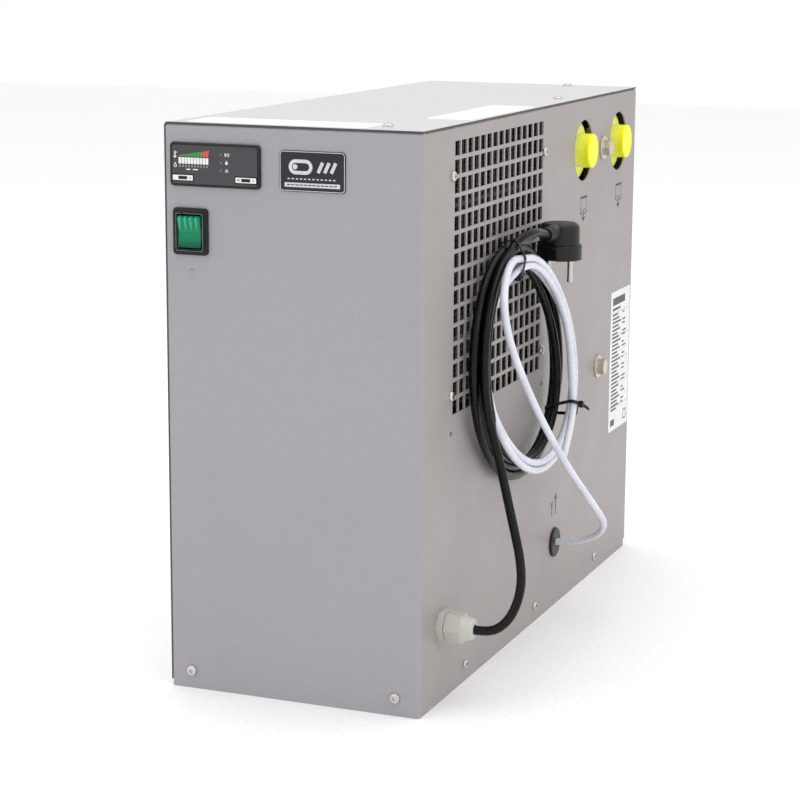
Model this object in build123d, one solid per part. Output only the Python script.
from build123d import *
import os
from math import atan2, cos, degrees, dist, pi, radians, sin, sqrt, tan

# Refrigerated compressed-air dryer. Millimetres, +Z up, front towards -Y,
# air and cord connections on the right-hand side, +X.
# The origin is the centre of the base, on the surface that the dryer stands on.

# ---- driving sizes of the casing
width = 208.0
depth = 543.0
height = 440.0
sheet = 1.2
bend = 2.5
seam = 0.3

right = width / 2
left = -width / 2
front = -depth / 2
back = depth / 2
panel_top = height - sheet - seam
inside_right = right - sheet
inside_left = left + sheet
inside_front = front + sheet
inside_back = back - sheet
screw_row = 14.0

# ---- intake grille and the condenser behind it
grille_cells = 15
cell_pitch = 14.0
cell_hole = 11.0
grille_y = front + 168.0
grille_z = 324.5
condenser_screws_at = [
    (front + 60.0, 402.5),
    (front + 275.0, 402.5),
    (front + 60.0, 236.5),
    (front + 275.0, 236.5),
]
spare_holes_at = [(front + 61.5, 207.0), (front + 278.0, 207.0)]

# ---- compressed-air ports, G 1/2 female
ports_at = [(front + 385.0, 394.4), (front + 489.5, 394.4)]
port_window = 26.5
port_bore = 9.3
port_boss = 13.0
port_face = right + 1.0
port_length = 20.0
cap_bore = 13.3
cap_radius = 14.75
cap_flange = 24.0
cap_end = right + 8.6

# ---- heat exchanger bolts
bolts_at = [(front + 441.0, 392.4), (front + 439.0, 194.0)]
boss_radius = 9.0

# ---- front controls
controller_x = left + 42.8
controller_z = 409.0
controller_w = 74.0
controller_h = 32.6
controller_proud = 2.8
controller_cut_w = 71.4
controller_cut_h = 29.4
switch_x = left + 21.8
switch_z = 358.7
switch_w = 29.0
switch_h = 35.4
switch_cut_w = 25.0
switch_cut_h = 30.0
rocker_w = 18.8
rocker_h = 24.6
rocker_tilt = 5.0
badge_x = left + 121.4
badge_z = 407.6

# ---- cords
gland_y = front + 46.0
gland_z = 60.5
gland_mouth = right + 27.0
lead_diameter = 7.2
grommet_y = front + 321.0
grommet_z = 58.0
tube_diameter = 6.0
tube_bore = 4.0
plug_x = right + 21.5
plug_y = front + 253.5
plug_z = 333.0

# ---- refrigeration circuit
condenser_out = 92.0
condenser_in = 52.0
fan_y = grille_y
fan_z = grille_z
fan_radius = 86.0
compressor_x = -8.0
compressor_y = front + 150.0
exchanger = (5.0, 88.0, 85.0, 250.0, 165.0, 426.0)


# ---------------------------------------------------------------- shape helpers
def block(x0, x1, y0, y1, z0, z1):
    """A box given by its limits."""
    centre = Pos((x0 + x1) / 2, (y0 + y1) / 2, (z0 + z1) / 2)
    return centre * Box(x1 - x0, y1 - y0, z1 - z0)


def rod_x(radius, x0, x1, y, z):
    """A cylinder along X."""
    return Pos((x0 + x1) / 2, y, z) * Rot(0, 90, 0) * Cylinder(radius, x1 - x0)


def rod_y(radius, y0, y1, x, z):
    """A cylinder along Y."""
    return Pos(x, (y0 + y1) / 2, z) * Rot(90, 0, 0) * Cylinder(radius, y1 - y0)


def rod_z(radius, z0, z1, x, y):
    """A cylinder along Z."""
    return Pos(x, y, (z0 + z1) / 2) * Cylinder(radius, z1 - z0)


def hexagon_x(across_flats, x0, x1, y, z):
    """A hexagonal bar along X."""
    plane = Plane(origin=(x0, y, z), x_dir=(0, 1, 0), z_dir=(1, 0, 0))
    return extrude(plane * RegularPolygon(across_flats / sqrt(3), 6), x1 - x0)


def rounded_y(x, z, w, h, radius, y0, y1):
    """A rounded rectangle seen from the front, between two depths."""
    plane = Plane(origin=(x, y1, z), x_dir=(1, 0, 0), z_dir=(0, -1, 0))
    return extrude(plane * RectangleRounded(w, h, radius), y1 - y0)


def rounded_x(y, z, w, h, radius, x0, x1):
    """A rounded rectangle seen from the side, between two widths."""
    plane = Plane(origin=(x0, y, z), x_dir=(0, 1, 0), z_dir=(1, 0, 0))
    return extrude(plane * RectangleRounded(w, h, radius), x1 - x0)


def edges_at(part, axis, value, other, other_value, tolerance=0.05):
    """Edges whose centre lies at two coordinates."""
    pick = {"X": 0, "Y": 1, "Z": 2}
    found = []
    for edge in part.edges():
        centre = tuple(edge.center())
        if abs(centre[pick[axis]] - value) < tolerance:
            if abs(centre[pick[other]] - other_value) < tolerance:
                found.append(edge)
    return found


def tube_along(points, diameter, name, bore=0.0, slack=0.45):
    """A round tube along straight runs joined by tangent arcs, as large as the runs allow."""
    runs = [dist(a, b) for a, b in zip(points, points[1:])]
    radii = []
    for i in range(1, len(points) - 1):
        a = Vector(*points[i]) - Vector(*points[i - 1])
        b = Vector(*points[i + 1]) - Vector(*points[i])
        turn = radians(a.get_angle(b))
        radii.append(slack * min(runs[i - 1], runs[i]) / tan(turn / 2))
    path = FilletPolyline(*points, radius=radii)
    start = Plane(origin=path @ 0, z_dir=path % 0)
    solid = sweep(start * Circle(diameter / 2), path=path)
    length = path.length
    if bore:
        solid -= sweep(start * Circle(bore / 2), path=path)
    area = pi * (diameter**2 - bore**2) / 4
    print(
        f"{name}: length {length:.0f}, volume ratio {solid.volume / (area * length):.4f},",
        f"runs {min(runs):.0f}-{max(runs):.0f}, smallest radius {min(radii):.1f}",
        f"({min(radii) / diameter:.1f} diameters)",
    )
    return solid


def pan_head_x(y, z, radius=4.0, proud=2.4):
    """A pan-head screw seen from +X: domed head, cross recess and a short shank."""
    head = rod_x(radius, right, right + proud, y, z)
    head = fillet(edges_at(head, "X", right + proud, "Y", y), proud * 0.7)
    cross = Pos(right + proud, y, z) * (Box(2.4, 4.0, 0.9) + Box(2.4, 0.9, 4.0))
    shank = rod_x(1.9, right - 9.0, right, y, z)
    return head - cross + shank


def button_head(radius, height_out, socket):
    """A button-head screw standing on +Z, its socket open upwards."""
    head = Pos(0, 0, height_out / 2) * Cylinder(radius, height_out)
    head = fillet(head.edges().sort_by(Axis.Z)[-1], height_out * 0.75)
    head -= Pos(0, 0, height_out) * Cylinder(socket, 3.0)
    return head + Pos(0, 0, -4.0) * Cylinder(1.9, 8.0)


# ---------------------------------------------------------------- casing
def make_base_tray():
    tray = block(inside_left + 0.2, inside_right, inside_front, inside_back, 0, 24)
    tray -= block(
        inside_left + 0.2 + 1.5, inside_right - 1.5, inside_front + 1.5, inside_back - 1.5, 1.5, 25
    )
    tray = fillet(edges_at(tray, "X", inside_right, "Y", inside_front), bend - sheet + 0.2)
    for y, z in side_screws_at():
        tray -= rod_x(2.0, inside_right - 3, inside_right + 1, y, z)
    for x in front_screws_at():
        tray -= rod_y(2.0, inside_front - 1, inside_front + 3, x, screw_row)
        tray -= rod_y(2.0, inside_back - 3, inside_back + 1, x, screw_row)
    return tray


def front_screws_at():
    return [left + 17.6, left + 188.3]


def side_screws_at():
    return [(front + 98.0, screw_row), (front + 270.0, screw_row), (front + 442.0, screw_row)]


def make_front_panel():
    """Front sheet: its top edge is folded back, its right edge turns the corner."""
    shell = block(left + sheet + seam, right, front, front + 2.7, 0, panel_top)
    shell = fillet(
        edges_at(shell, "X", right, "Y", front) + edges_at(shell, "Y", front, "Z", panel_top), bend
    )
    hollow = block(
        left, inside_right, inside_front, front + 4, -1, panel_top - sheet
    )
    hollow = fillet(
        edges_at(hollow, "X", inside_right, "Y", inside_front)
        + edges_at(hollow, "Y", inside_front, "Z", panel_top - sheet),
        bend - sheet,
    )
    shell -= hollow
    shell += block(
        left + sheet + seam, right - 2.8, front + 2.6, front + 13, panel_top - sheet, panel_top
    )
    shell -= rounded_y(
        controller_x, controller_z, controller_cut_w, controller_cut_h, 1.0, front - 1, front + 2
    )
    shell -= rounded_y(switch_x, switch_z, switch_cut_w, switch_cut_h, 2.0, front - 1, front + 2)
    for x in front_screws_at():
        shell -= rod_y(2.0, front - 1, front + 3, x, screw_row)
    return shell


def make_side_panel():
    """Right sheet: intake grille, port windows, cord exits and fixing holes."""
    y0 = front + 2.7
    shell = block(right - 2.7, right, y0, back, 0, panel_top)
    shell = fillet(edges_at(shell, "X", right, "Z", panel_top), bend)
    hollow = block(right - 4, inside_right, y0 - 1, back + 1, -1, panel_top - sheet)
    hollow = fillet(edges_at(hollow, "X", inside_right, "Z", panel_top - sheet), bend - sheet)
    shell -= hollow
    shell += block(right - 12, right - 2.6, y0 + 12, back - 31, panel_top - sheet, panel_top)
    cells = GridLocations(cell_pitch, cell_pitch, grille_cells, grille_cells) * Rectangle(
        cell_hole, cell_hole
    )
    plane = Plane(origin=(right - 4, grille_y, grille_z), x_dir=(0, 1, 0), z_dir=(1, 0, 0))
    shell -= extrude(plane * Sketch(children=cells), 6)
    for y, z in ports_at:
        shell -= rod_x(port_window, right - 5, right + 1, y, z)
    for y, z in bolts_at:
        shell -= rod_x(4.3, right - 5, right + 1, y, z)
    for y, z in condenser_screws_at + spare_holes_at + side_screws_at():
        shell -= rod_x(2.0, right - 5, right + 1, y, z)
    shell -= rod_x(8.2, right - 5, right + 1, gland_y, gland_z)
    shell -= rod_x(10.2, right - 5, right + 1, grommet_y, grommet_z)
    shell -= block(right - 5, right + 1, back - 3.5, back + 1, -1, 7)
    return shell


def make_cover():
    """Top and left-hand side in one sheet, with an outlet grille beside the fan."""
    shell = block(left, right, front, back, 5, height)
    shell = fillet(edges_at(shell, "X", left, "Z", height), 3.0)
    hollow = block(inside_left, right + 1, front - 1, back + 1, 4, height - sheet)
    hollow = fillet(edges_at(hollow, "X", inside_left, "Z", height - sheet), 1.0)
    shell -= hollow
    corners = edges_at(shell, "Y", front, "Z", 5.0) + edges_at(shell, "Y", back, "Z", 5.0)
    shell = fillet(corners, 5.0)
    slots = []
    slot_w, slot_h, slot_pitch = 58.0, 7.0, 15.0
    for column in range(3):
        for row in range(13):
            y = fan_y + (column - 1) * 68.0
            z = fan_z + (row - 6) * slot_pitch
            slots.append(rounded_x(y, z, slot_w, slot_h, 3.4, left - 1, left + 3))
    shell -= slots
    for x, y in cover_screws_at():
        shell -= rod_z(2.0, height - 3, height + 1, x, y)
    return shell


def cover_screws_at():
    return [(left + 168.0, front + 31.0), (left + 191.0, front + 361.0), (left + 145.0, back - 12.0)]


def make_rear_panel():
    shell = block(inside_left + seam, inside_right - seam, inside_back, back, 0, panel_top - 0.2)
    shell += block(
        inside_left + seam, inside_right - 1.6, back - 30, back, panel_top - 1.4, panel_top - 0.2
    )
    shell += block(inside_left + seam, inside_left + 12, back - 20, back, 26, panel_top - 0.2)
    shell -= block(
        inside_left + seam + sheet, inside_left + 13, back - 21, inside_back, 25, panel_top - 1.4
    )
    shell -= block(right - 3.6, right, back - 31, back + 1, panel_top - 1.5, panel_top + 1)
    for x, y in cover_screws_at()[2:]:
        shell -= rod_z(2.0, panel_top - 5, panel_top + 1, x, y)
    for x in front_screws_at():
        shell -= rod_y(2.0, back - 3, back + 1, x, screw_row)
    return shell


def make_end_screws():
    """Button-head screws along the bottom of the front and rear panels."""
    screws = []
    for y, turn in ((front, 90), (back, -90)):
        for x in front_screws_at():
            screws.append(Pos(x, y, screw_row) * Rot(turn, 0, 0) * button_head(4.2, 2.2, 1.6))
    return Compound(children=screws)


def make_side_screws():
    return Compound(children=[pan_head_x(y, z, 3.6, 2.0) for y, z in side_screws_at()])


def make_condenser_screws():
    return Compound(children=[pan_head_x(y, z) for y, z in condenser_screws_at])


def make_cover_screws():
    screws = []
    for x, y in cover_screws_at():
        screws.append(Pos(x, y, height) * button_head(4.0, 2.2, 1.6))
    return Compound(children=screws)


# ---------------------------------------------------------------- front controls
button_w, button_h = 17.6, 4.8
button_z = controller_z - 9.9
button_reach = 26.0
button_travel = 0.5


def make_controller_housing():
    face = front - controller_proud
    bezel = rounded_y(controller_x, controller_z, controller_w, controller_h, 3.0, face, front)
    bezel = chamfer(bezel.faces().sort_by(Axis.Y)[0].edges(), 0.8)
    body = block(
        controller_x - 35.4,
        controller_x + 35.4,
        front,
        front + 58,
        controller_z - 14.4,
        controller_z + 14.4,
    )
    housing = bezel + body
    housing -= rounded_y(controller_x, controller_z, 70.6, 29.2, 2.0, face - 1, face + 0.5)
    for side in (-1, 1):
        x = controller_x + side * button_reach
        housing -= block(
            x - button_w / 2 - 0.3,
            x + button_w / 2 + 0.3,
            face,
            face + 2.6,
            button_z - button_h / 2 - 0.3,
            button_z + button_h / 2 + 0.3,
        )
    return housing


def make_controller_fascia():
    face = front - controller_proud
    film = rounded_y(controller_x, controller_z, 70.2, 28.8, 1.8, face + 0.05, face + 0.5)
    for side in (-1, 1):
        x = controller_x + side * button_reach
        film -= block(
            x - button_w / 2 - 0.3,
            x + button_w / 2 + 0.3,
            face - 1,
            face + 1,
            button_z - button_h / 2 - 0.3,
            button_z + button_h / 2 + 0.3,
        )
    return film


def make_button(side):
    face = front - controller_proud
    x = controller_x + side * button_reach
    key = rounded_y(x, button_z, button_w, button_h, 1.0, face - 0.4, face + 2.6 - button_travel - 0.1)
    return fillet(key.faces().sort_by(Axis.Y)[0].edges(), 0.3)


def make_badge_plate():
    plate = rounded_y(badge_x, badge_z, 52.6, 30.0, 3.0, front - 1.0, front)
    return chamfer(plate.faces().sort_by(Axis.Y)[0].edges(), 0.35)


def make_switch_bezel():
    bezel = rounded_y(switch_x, switch_z, switch_w, switch_h, 3.0, front - 2.6, front)
    bezel = fillet(bezel.faces().sort_by(Axis.Y)[0].edges(), 1.1)
    sleeve = rounded_y(
        switch_x, switch_z, switch_cut_w - 0.4, switch_cut_h - 0.4, 1.8, front, front + 9
    )
    window = rounded_y(
        switch_x, switch_z, rocker_w + 0.8, rocker_h + 1.6, 1.0, front - 4, front + 10
    )
    return bezel + sleeve - window


def make_switch_rocker():
    """Lens of the rocker, standing tilted with its upper half pressed in."""
    profile = Polyline(
        (-rocker_h / 2, 0.0),
        (-rocker_h / 2 + 1.0, 3.4),
        (0, 1.6),
        (rocker_h / 2 - 1.0, 3.4),
        (rocker_h / 2, 0.0),
        (rocker_h / 2 - 4.0, -6.0),
        (-rocker_h / 2 + 4.0, -6.0),
        close=True,
    )
    plane = Plane(
        origin=(switch_x - rocker_w / 2, front - 1.4, switch_z), x_dir=(0, 0, 1), z_dir=(1, 0, 0)
    )
    lens = extrude(plane * make_face(profile), rocker_w)
    lens = fillet(lens.faces().sort_by(Axis.X)[0].edges(), 0.5)
    lens = fillet(lens.faces().sort_by(Axis.X)[-1].edges(), 0.5)
    return lens.rotate(Axis((switch_x, front + 3.0, switch_z), (1, 0, 0)), rocker_tilt)


def make_switch_body():
    body = block(
        switch_x - 12.0,
        switch_x + 12.0,
        front + 9.2,
        front + 30,
        switch_z - 14.5,
        switch_z + 14.5,
    )
    for row in (-1, 0, 1):
        for column in (-1, 1):
            x = switch_x + column * 6
            z = switch_z + row * 9
            body += block(x - 3.1, x + 3.1, front + 30, front + 38, z - 0.4, z + 0.4)
    return body


# ---------------------------------------------------------------- air connections
def make_port_fitting(y, z):
    """Brass fitting of the heat exchanger: collar, hexagon and female thread."""
    collar = rod_x(19.0, exchanger[1], exchanger[1] + 3, y, z)
    hexagon = hexagon_x(30.0, exchanger[1] + 3, port_face - 8.5, y, z)
    boss = rod_x(port_boss, port_face - 8.5, port_face, y, z)
    boss = chamfer(edges_at(boss, "X", port_face, "Y", y), 0.6)
    bore = rod_x(port_bore, port_face - port_length, port_face + 1, y, z)
    return collar + hexagon + boss - bore - rod_x(6.5, exchanger[1] - 1, port_face, y, z)


def make_port_cap(y, z):
    """Push-on cap: a wide thin flange and a closed round cup over the fitting."""
    start = port_face - 7.8
    cap = rod_x(cap_flange, start, start + 1.2, y, z) + rod_x(cap_radius, start, cap_end, y, z)
    cap = fillet(edges_at(cap, "X", cap_end, "Y", y), 0.8)
    return cap - rod_x(cap_bore, start - 1, cap_end - 1.4, y, z)


def make_exchanger_bolts():
    bolts = []
    for y, z in bolts_at:
        head = hexagon_x(13.0, right + 2.0, right + 7.5, y, z)
        head += rod_x(6.2, right + 7.5, right + 8.0, y, z)
        bolts.append(head + rod_x(4.0, right - 10, right + 2.0, y, z))
    return Compound(children=bolts)


def make_exchanger_washers():
    washers = []
    for y, z in bolts_at:
        washer = rod_x(10.5, right, right + 2.0, y, z) - rod_x(4.2, right - 1, right + 3, y, z)
        washers.append(chamfer(edges_at(washer, "X", right + 2.0, "Y", y)[:1], 0.4))
    return Compound(children=washers)


def make_rating_label():
    return rounded_x(front + 509.5, 189.0, 61.0, 132.0, 2.0, right, right + 0.3)


# ---------------------------------------------------------------- heat exchanger side
def make_heat_exchanger():
    x0, x1, y0, y1, z0, z1 = exchanger
    body = fillet(block(x0, x1, y0, y1, z0, z1).edges().filter_by(Axis.Z), 14)
    body = fillet(body.faces().sort_by(Axis.Z)[-1].edges(), 6)
    for y, z in bolts_at:
        body += rod_x(boss_radius, x1 - 4, x1 + 2, y, z)
        body -= rod_x(4.2, x1 - 6, x1 + 3, y, z)
    return body


def make_exchanger_bracket():
    """Strap bent outwards to the side panel at both of its bolts."""
    x1 = exchanger[1] + 2.0
    strap = block(x1, x1 + 2, 158, 182, 176, 410)
    for y, z in bolts_at:
        strap += rod_x(boss_radius, x1, inside_right, y, z)
        strap -= rod_x(4.2, x1 - 1, inside_right + 1, y, z)
    return strap


def make_condensate_separator():
    bowl = rod_z(27, 62, exchanger[4], 46, 205)
    bowl = fillet(bowl.edges().sort_by(Axis.Z)[0], 12)
    return bowl + rod_z(8, 50, 63, 46, 205)


def make_drain_valve():
    body = fillet(block(34, 58, 132, 160, 38, 62).edges().filter_by(Axis.Z), 3)
    body += rod_y(5.5, 155, 205, 46, 44)
    body += rod_z(5.5, 44, 50, 46, 205) + Pos(46, 205, 44) * Sphere(5.5)
    return body + rod_z(8, 60, 66, 46, 146) + rod_y(3.6, 120, 134, 46, 50)


def make_drain_valve_coil():
    coil = rod_z(15, 66, 98, 46, 146)
    coil = fillet(coil.edges().sort_by(Axis.Z)[-1], 3)
    return coil + block(22, 34, 138, 154, 72, 92)


# ---------------------------------------------------------------- fan and condenser
def make_condenser_fins():
    """Fin pack with an end plate at each side, turned out to the panel."""
    y0, y1 = fan_y - 102, fan_y + 102
    z0, z1 = grille_z - 104, grille_z + 104
    fins = 34
    pitch = (y1 - y0) / fins
    slots = []
    for row in range(4):
        for fin in range(fins):
            slot_at = Pos(y0 + (fin + 0.5) * pitch, grille_z + (row - 1.5) * 52)
            slots.append(slot_at * Rectangle(pitch - 1.4, 48))
    outline = Pos(fan_y, grille_z) * Rectangle(y1 - y0, z1 - z0) - slots
    plane = Plane(origin=(condenser_in, 0, 0), x_dir=(0, 1, 0), z_dir=(1, 0, 0))
    pack = extrude(plane * outline, condenser_out - condenser_in)
    for edge_y, side in ((y0, -1), (y1, 1)):
        lip = sorted((edge_y, edge_y + side * 13.5))
        plate = block(condenser_in, inside_right, edge_y - 0.75, edge_y + 0.75, z0, z1)
        pack += plate + block(inside_right - 1.5, inside_right, lip[0], lip[1], z0, z1)
    for y, z in condenser_screws_at:
        pack -= rod_x(2.0, inside_right - 3, inside_right + 1, y, z)
    return pack


def make_condenser_coil():
    """Return bends of the condenser tube, outside both end plates."""
    bends = []
    x = (condenser_in + condenser_out) / 2
    for end, side, first in ((fan_y + 102.75, 1, 0), (fan_y - 102.75, -1, 1)):
        for pair in range(first, 7, 2):
            z = grille_z - 90 + pair * 26
            half = 13.0
            arc = ThreePointArc(
                (x, end + side * 3, z - half),
                (x, end + side * (3 + half), z),
                (x, end + side * 3, z + half)
            )
            lower = Line((x, end, z - half), (x, end + side * 3, z - half))
            upper = Line((x, end + side * 3, z + half), (x, end, z + half))
            path = Wire([lower, arc, upper])
            start = Plane(origin=(x, end, z - half), z_dir=(0, side, 0))
            bends.append(sweep(start * Circle(4.8), path=path))
    return Compound(children=bends)


def make_fan_shroud():
    z0, z1 = grille_z - 104, grille_z + 104
    plate = block(condenser_in - 1.5, condenser_in, fan_y - 102.7, fan_y + 102.7, z0, z1)
    ring = rod_x(fan_radius + 5.5, 20, condenser_in - 1, fan_y, fan_z)
    return plate + ring - rod_x(fan_radius + 4, 19, condenser_in + 1, fan_y, fan_z)


def make_fan_motor():
    motor = rod_x(34, -34, 18, fan_y, fan_z)
    motor = fillet(edges_at(motor, "X", -34, "Y", fan_y), 8)
    return motor - rod_x(3.05, -20, 19, fan_y, fan_z)


def make_fan_rotor():
    hub = rod_x(36, 22, 44, fan_y, fan_z)
    hub = fillet(edges_at(hub, "X", 44, "Y", fan_y), 4)
    hub += rod_x(3.0, -15, 23, fan_y, fan_z)
    blades = 5
    for i in range(blades):
        blade = Pos(33, 0, 58) * Rot(0, 0, 28) * Box(1.6, 52, 52)
        blade = blade.rotate(Axis((0, 0, 0), (1, 0, 0)), 360 / blades * i)
        hub += Pos(0, fan_y, fan_z) * blade
    return hub & rod_x(fan_radius, -16, 48, fan_y, fan_z)


def make_fan_bracket():
    """Four arms from the motor's back to the shroud plate."""
    plate = rod_x(22, -36, -34, fan_y, fan_z)
    for dy, dz in ((1, 1), (1, -1), (-1, 1), (-1, -1)):
        reach = 96
        arm = Pos(-35, 0, reach * 0.68) * Box(2, 14, reach * 1.36)
        arm = arm.rotate(Axis((0, 0, 0), (1, 0, 0)), degrees(atan2(-dy, dz)))
        plate += Pos(0, fan_y, fan_z) * arm
        y, z = fan_y + dy * 88, fan_z + dz * 88
        plate += block(-36, condenser_in - 1.5, y - 5, y + 5, z - 5, z + 5)
    return plate


# ---------------------------------------------------------------- compressor
def make_compressor_shell():
    plane = Plane.XY.offset(34)
    shell = extrude(plane * Pos(compressor_x, compressor_y) * Ellipse(62, 72), 138)
    shell = fillet(shell.faces().sort_by(Axis.Z)[-1].edges(), 34)
    shell = fillet(shell.faces().sort_by(Axis.Z)[0].edges(), 14)
    seam_ring = Plane.XY.offset(104) * Pos(compressor_x, compressor_y) * Ellipse(64, 74)
    return shell + extrude(seam_ring, 5)


def compressor_feet_at():
    return [
        (compressor_x + dx * 46, compressor_y + dy * 66) for dx in (-1, 1) for dy in (-1, 1)
    ]


def make_compressor_feet():
    plate = block(
        compressor_x - 58, compressor_x + 58, compressor_y - 78, compressor_y + 78, 25, 28
    )
    plate += block(compressor_x - 40, compressor_x + 40, compressor_y - 45, compressor_y + 45, 27.5, 34)
    plate = fillet(plate.edges().filter_by(Axis.Z).group_by(SortBy.LENGTH)[0], 6)
    for x, y in compressor_feet_at():
        plate -= rod_z(5.2, 20, 40, x, y)
    return plate


def make_compressor_mounts():
    mounts = []
    for x, y in compressor_feet_at():
        mount = rod_z(9, 1.5, 25, x, y) + rod_z(5, 25, 28, x, y) + rod_z(8, 28, 30, x, y)
        mounts.append(mount)
    return Compound(children=mounts)


def make_terminal_cover():
    """Terminal box on the compressor's front."""
    y0 = compressor_y - 74
    box = block(compressor_x - 22, compressor_x + 22, y0 - 24, y0 - 0.5, 70, 118)
    return fillet(box.edges().filter_by(Axis.Y), 5)


# ---------------------------------------------------------------- refrigerant circuit
def make_filter_dryer():
    body = rod_z(11, 120, 230, -70, front + 300)
    body = fillet(body.edges().filter_by(GeomType.CIRCLE), 6)
    return body + rod_z(4, 105, 121, -70, front + 300) + rod_z(4, 229, 245, -70, front + 300)


def make_bypass_valve():
    body = rod_z(13, 70, 108, -40, front + 410)
    cap = hexagon_x(20, -27.2, -18, front + 410, 84)
    stem = rod_x(7, -42, -27, front + 410, 84)
    return fillet(body.edges().sort_by(Axis.Z)[-1], 3) + cap + stem + rod_z(4, 60, 71, -40, front + 410)


def make_refrigerant_pipes():
    """Copper pipes between the compressor, condenser, filter dryer and heat exchanger."""
    routes = {
        "discharge pipe": [
            (compressor_x + 63.5, compressor_y, 120),
            (72, compressor_y + 6, 122),
            (80, compressor_y + 30, 128),
            (80, compressor_y + 60, 150),
            (76, compressor_y + 100, 175),
            (74, compressor_y + 122, 210),
            (74, compressor_y + 126, 246),
        ],
        "liquid pipe": [
            (72, fan_y - 112, 214),
            (60, fan_y - 112, 204),
            (30, fan_y - 100, 199),
            (-20, fan_y - 40, 200),
            (-62, fan_y + 20, 214),
            (-72, fan_y + 70, 240),
            (-70, fan_y + 100, 262),
            (-70, front + 296, 262),
            (-70, front + 300, 246),
        ],
        "capillary return": [
            (-70, front + 300, 104),
            (-69, front + 303, 88),
            (-62, front + 325, 76),
            (-40, front + 350, 80),
            (-16, front + 372, 104),
            (-2, front + 392, 150),
            (-6, front + 412, 190),
            (4.9, front + 424, 216),
        ],
        "suction pipe": [
            (4.9, front + 390, 330),
            (-14, front + 388, 326),
            (-24, front + 366, 300),
            (-20, front + 330, 250),
            (-12, front + 290, 205),
            (-8, front + 255, 188),
            (-6, front + 225, 170),
            (-8, front + 221.5, 150),
        ],
    }
    pipes = [tube_along(route, 6.4, name) for name, route in routes.items()]
    return Compound(children=pipes)


def make_drain_hose():
    route = [
        (46, 119.8, 50),
        (47, 108, 50),
        (54, 92, 51),
        (66, 76, 53),
        (80, 64, 55),
        (90, 54, 57),
        (97, 49.5, 58),
        (101.5, grommet_y, grommet_z),
    ]
    return tube_along(route, tube_diameter, "internal drain hose", tube_bore)


# ---------------------------------------------------------------- electrical
def make_terminal_block():
    base = block(-100, -76, front + 30, front + 110, 60, 66)
    for i in range(6):
        y = front + 36 + i * 12.5
        base += block(-98, -80, y, y + 10, 66, 78)
        base -= rod_z(2.2, 70, 80, -89, y + 5)
    return base


def make_run_capacitor():
    can = rod_z(17, 90, 160, -80, front + 70)
    can = fillet(can.edges().sort_by(Axis.Z)[-1], 3)
    clip = rod_z(19, 118, 126, -80, front + 70) - rod_z(17.2, 117, 127, -80, front + 70)
    return Compound(children=[can, clip + block(-102, -97, front + 60, front + 80, 118, 126)])


def make_wiring():
    supply = [
        (94, gland_y, gland_z),
        (80, gland_y - 2, gland_z),
        (50, gland_y - 20, gland_z + 4),
        (10, gland_y - 24, gland_z + 12),
        (-30, gland_y - 22, gland_z + 16),
        (-62, gland_y - 6, gland_z + 24),
        (-86, gland_y + 12, gland_z + 26),
        (-89, gland_y + 15, gland_z + 18.2),
    ]
    switch = [
        (switch_x - 6, front + 38.3, switch_z),
        (switch_x - 5, front + 50, switch_z - 6),
        (switch_x - 2, front + 58, switch_z - 30),
        (switch_x + 4, front + 50, switch_z - 80),
        (switch_x, front + 38, switch_z - 130),
        (switch_x - 6, front + 34, switch_z - 180),
        (switch_x - 8, front + 38, switch_z - 230),
        (-89, front + 41, 90),
        (-89, front + 41, 78.4),
    ]
    probe = [
        (controller_x + 10, front + 58.2, controller_z),
        (controller_x + 12, front + 72, controller_z - 2),
        (controller_x + 14, front + 90, controller_z - 2),
        (-56, front + 140, 421),
        (-60, front + 190, 422),
        (-56, front + 240, 420),
        (-44, front + 290, 410),
        (-24, front + 330, 392),
        (-6, front + 360, 380),
        (4.8, front + 378, 376),
    ]
    wires = [
        tube_along(supply, 6.0, "supply cable inside"),
        tube_along(switch, 4.0, "switch wires"),
        tube_along(probe, 3.0, "probe wire"),
    ]
    return Compound(children=wires)


# ---------------------------------------------------------------- cord exits
def make_gland_body():
    flange = hexagon_x(24.0, right, right + 5.0, gland_y, gland_z)
    thread = rod_x(7.9, right - 9, right + 15, gland_y, gland_z)
    return flange + thread - rod_x(4.2, right - 10, right + 16, gland_y, gland_z)


def make_gland_nut():
    """Cap nut: hexagonal base that runs into a dome round the lead."""
    nut = hexagon_x(22.0, right + 5.5, right + 18.0, gland_y, gland_z)
    nut &= rod_x(12.2, right + 5.5, right + 18.0, gland_y, gland_z)
    dome = Pos(right + 18.0 + (gland_mouth - right - 18.0) / 2, gland_y, gland_z) * Rot(0, 90, 0)
    dome = dome * Cone(10.6, 7.6, gland_mouth - right - 18.0)
    dome = fillet(edges_at(dome, "X", gland_mouth, "Y", gland_y), 3.0)
    nut = nut + dome
    nut -= rod_x(8.1, right + 5.4, right + 15.5, gland_y, gland_z)
    return nut - rod_x(lead_diameter / 2 + 0.3, right + 5, gland_mouth + 1, gland_y, gland_z)


def make_gland_locknut():
    nut = hexagon_x(20.0, inside_right - 4.5, inside_right, gland_y, gland_z)
    return nut - rod_x(8.0, inside_right - 6, inside_right + 1, gland_y, gland_z)


def make_drain_grommet():
    ring = rod_x(13.0, right, right + 2.4, grommet_y, grommet_z)
    ring = fillet(edges_at(ring, "X", right + 2.4, "Y", grommet_y), 1.6)
    ring += rod_x(10.0, inside_right - 2, right, grommet_y, grommet_z)
    ring += rod_x(12.0, inside_right - 2, inside_right, grommet_y, grommet_z)
    return ring - rod_x(tube_diameter / 2 + 0.1, inside_right - 4, right + 4, grommet_y, grommet_z)


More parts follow.
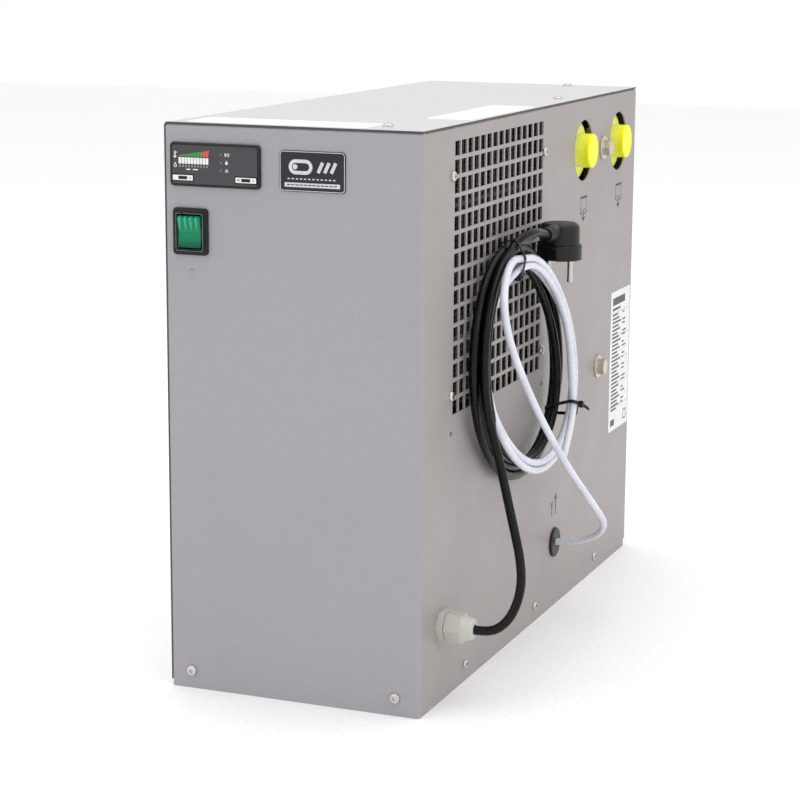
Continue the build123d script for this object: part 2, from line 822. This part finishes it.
# ---------------------------------------------------------------- cords
# Both cords hang beside the grille in one bundle. A loop is a teardrop, leaning forwards,
# narrow under the tie at its top. Sizes are of the middle line of its turns.
loop_y = front + 186.0
loop_z = 243.0
loop_half_w = 98.0
loop_half_h = 92.0
loop_lean = 20.0
loop_pinch_front = 0.12
loop_pinch_rear = 0.28
lead_coil_w = 21.0
lead_coil_x0 = right + 4.0
lead_coil_x1 = right + 19.0
tube_coil_w = 18.0
tube_coil_x0 = right + 20.0
tube_coil_x1 = right + 33.0


def loop_point(angle, grow=0.0):
    """A point of the loop in Y and Z; the angle runs from the tie down the front side."""
    half_w = loop_half_w + grow
    half_h = loop_half_h + grow
    pinch = loop_pinch_front if sin(angle) > 0 else loop_pinch_rear
    narrow = 1 - pinch * (1 + cos(angle)) / 2
    y = loop_y - half_w * sin(angle) * narrow - loop_lean * cos(angle)
    return y, loop_z + half_h * cos(angle)


def make_coil(x0, x1, ring_width, grow=0.0):
    """Outer shape of a coil: a flat ring that follows the loop."""
    plane = Plane(origin=(x0, 0, 0), x_dir=(0, 1, 0), z_dir=(1, 0, 0))
    steps = 24
    outlines = []
    for side in (ring_width / 2, -ring_width / 2):
        points = [loop_point(2 * pi * i / steps, grow + side) for i in range(steps)]
        outlines.append(make_face(Spline(*points, periodic=True)))
    return extrude(plane * (outlines[0] - outlines[1]), x1 - x0)


def from_corner(route):
    """Route points given from the panel's face, the front and the base."""
    return [(right + out, front + y, z) for out, y, z in route]


def make_mains_lead():
    """From the gland out, round and up to the front side of the coil."""
    route = [
        (19, 46, 60.5),
        (33, 46, 60.5),
        (46.2, 47.6, 65.7),
        (56.3, 50.7, 75.4),
        (61.8, 54.6, 88),
        (61.5, 61, 101),
        (57, 68.5, 114.5),
        (49.5, 76, 129),
        (42.5, 83, 146),
        (35.5, 88, 164.5),
        (28.5, 91, 184),
        (22, 92, 204),
        (17, 91, 226),
    ]
    return tube_along(from_corner(route), lead_diameter, "mains lead")


def make_mains_lead_end():
    """From the tie at the top of the coil back to the plug."""
    route = [
        (14, 159.5, 340),
        (17, 168.5, 344),
        (20, 178.5, 346.5),
        (22, 190.5, 346.8),
        (22, 203.5, 344.6),
        (21.5, 219.5, 341),
    ]
    return tube_along(from_corner(route), lead_diameter, "mains lead end")


def make_plug_body():
    """Angled plug: round face downwards, lead entering from the front."""
    disc = rod_z(18.5, plug_z - 15.5, plug_z - 3.0, plug_x, plug_y)
    disc = fillet(disc.edges().sort_by(Axis.Z)[-1], 2.0)
    crown = rod_z(16.5, plug_z - 4.0, plug_z + 14.5, plug_x, plug_y)
    crown = fillet(crown.edges().sort_by(Axis.Z)[-1], 5.0)
    neck = rod_y(6.6, plug_y - 26, plug_y, plug_x, plug_z + 8.0)
    boot = Pos(plug_x, plug_y - 30, plug_z + 8.0) * Rot(90, 0, 0) * Cone(6.6, 4.8, 8)
    body = disc + crown + neck + boot
    for side in (-1, 1):
        body -= block(
            plug_x - 3,
            plug_x + 3,
            plug_y + side * 17.5 - 2,
            plug_y + side * 17.5 + 2,
            plug_z - 16,
            plug_z - 6
        )
    return body


def make_plug_pins():
    pins = []
    for side in (-1, 1):
        pin = rod_z(2.4, plug_z - 34.5, plug_z - 15.5, plug_x + side * 9.5, plug_y)
        pins.append(fillet(pin.edges().sort_by(Axis.Z)[0], 1.2))
    return Compound(children=pins)


def make_drain_tube():
    """From the grommet straight out, sharply back and up across the coil to its front side."""
    route = [
        (-0.5, 321, 58),
        (14, 321.5, 59.5),
        (28, 320, 63),
        (40, 316.5, 69),
        (48, 310, 77.5),
        (51.5, 299, 87.5),
        (51, 282, 100),
        (48.5, 258, 119),
        (45, 225, 145),
        (41, 190, 176),
        (37.5, 156, 209),
        (34.5, 127, 241),
        (31, 106, 270),
        (28, 99, 295),
        (26, 106, 316),
        (25, 118, 330),
    ]
    return tube_along(from_corner(route), tube_diameter, "drain tube", tube_bore)


def make_drain_tube_end():
    """The cut end of the drain tube, in front of the coil below the lower tie."""
    route = [
        (33, 260, 209),
        (36.3, 254, 196),
        (36.8, 247, 183),
        (36.8, 238, 170),
        (36.8, 228, 157.5),
    ]
    return tube_along(from_corner(route), tube_diameter, "drain tube end", tube_bore)


def make_tie(y, z, turn, x0, x1, half, head_x):
    """A cable tie round both bundles, in the plane across them, with its lock."""
    strap_w, strap_t = 4.6, 1.3
    outer = Box(x1 - x0 + 2 * strap_t, strap_w, 2 * (half + strap_t))
    outer = fillet(outer.edges().filter_by(Axis.Y), 3.0)
    inner = Box(x1 - x0, strap_w + 2, 2 * half)
    inner = fillet(inner.edges().filter_by(Axis.Y), 1.8)
    lock = Pos(head_x - (x0 + x1) / 2, 0, half + strap_t + 2.0) * Box(7.5, 6.5, 4.6)
    tie = outer - inner + fillet(lock.edges().filter_by(Axis.Z), 1.0)
    return Pos((x0 + x1) / 2, y, z) * Rot(turn, 0, 0) * tie


def make_tie_top():
    return make_tie(grille_y, 336.0, 0, right - 4.0, right + 34.5, 13.6, right + 26)


def make_tie_side():
    angle = radians(232)
    y, z = loop_point(angle)
    y_in, z_in = loop_point(angle, -1.0)
    turn = degrees(atan2(y_in - y, z - z_in))
    return make_tie(y, z, turn, right + 2.5, right + 41.0, 14.0, right + 30)


# ---------------------------------------------------------------- write every piece
pieces = {
    "base_tray": make_base_tray(),
    "front_panel": make_front_panel(),
    "side_panel": make_side_panel(),
    "cover": make_cover(),
    "rear_panel": make_rear_panel(),
    "end_screws": make_end_screws(),
    "side_screws": make_side_screws(),
    "condenser_screws": make_condenser_screws(),
    "cover_screws": make_cover_screws(),
    "controller_housing": make_controller_housing(),
    "controller_fascia": make_controller_fascia(),
    "left_button": make_button(-1),
    "right_button": make_button(1),
    "badge_plate": make_badge_plate(),
    "switch_bezel": make_switch_bezel(),
    "switch_rocker": make_switch_rocker(),
    "switch_body": make_switch_body(),
    "inlet_port": make_port_fitting(*ports_at[0]),
    "outlet_port": make_port_fitting(*ports_at[1]),
    "inlet_cap": make_port_cap(*ports_at[0]),
    "outlet_cap": make_port_cap(*ports_at[1]),
    "exchanger_bolts": make_exchanger_bolts(),
    "exchanger_washers": make_exchanger_washers(),
    "rating_label": make_rating_label(),
    "heat_exchanger": make_heat_exchanger(),
    "exchanger_bracket": make_exchanger_bracket(),
    "condensate_separator": make_condensate_separator(),
    "drain_valve": make_drain_valve(),
    "drain_valve_coil": make_drain_valve_coil(),
    "drain_hose": make_drain_hose(),
    "condenser_fins": make_condenser_fins(),
    "condenser_bends": make_condenser_coil(),
    "fan_shroud": make_fan_shroud(),
    "fan_motor": make_fan_motor(),
    "fan_rotor": make_fan_rotor(),
    "fan_bracket": make_fan_bracket(),
    "compressor_shell": make_compressor_shell(),
    "compressor_feet": make_compressor_feet(),
    "compressor_mounts": make_compressor_mounts(),
    "compressor_terminal_cover": make_terminal_cover(),
    "filter_dryer": make_filter_dryer(),
    "bypass_valve": make_bypass_valve(),
    "refrigerant_pipes": make_refrigerant_pipes(),
    "terminal_block": make_terminal_block(),
    "run_capacitor": make_run_capacitor(),
    "wiring": make_wiring(),
    "gland_body": make_gland_body(),
    "gland_nut": make_gland_nut(),
    "gland_locknut": make_gland_locknut(),
    "drain_grommet": make_drain_grommet(),
    "mains_lead": make_mains_lead(),
    "mains_coil": make_coil(lead_coil_x0, lead_coil_x1, lead_coil_w),
    "mains_lead_end": make_mains_lead_end(),
    "plug_body": make_plug_body(),
    "plug_pins": make_plug_pins(),
    "drain_tube": make_drain_tube(),
    "drain_coil": make_coil(tube_coil_x0, tube_coil_x1, tube_coil_w, -3.0),
    "drain_tube_end": make_drain_tube_end(),
    "tie_top": make_tie_top(),
    "tie_side": make_tie_side(),
}

os.makedirs("parts", exist_ok=True)
for name, piece in pieces.items():
    export_step(piece, f"parts/{name}.step")
print(len(pieces), "pieces")
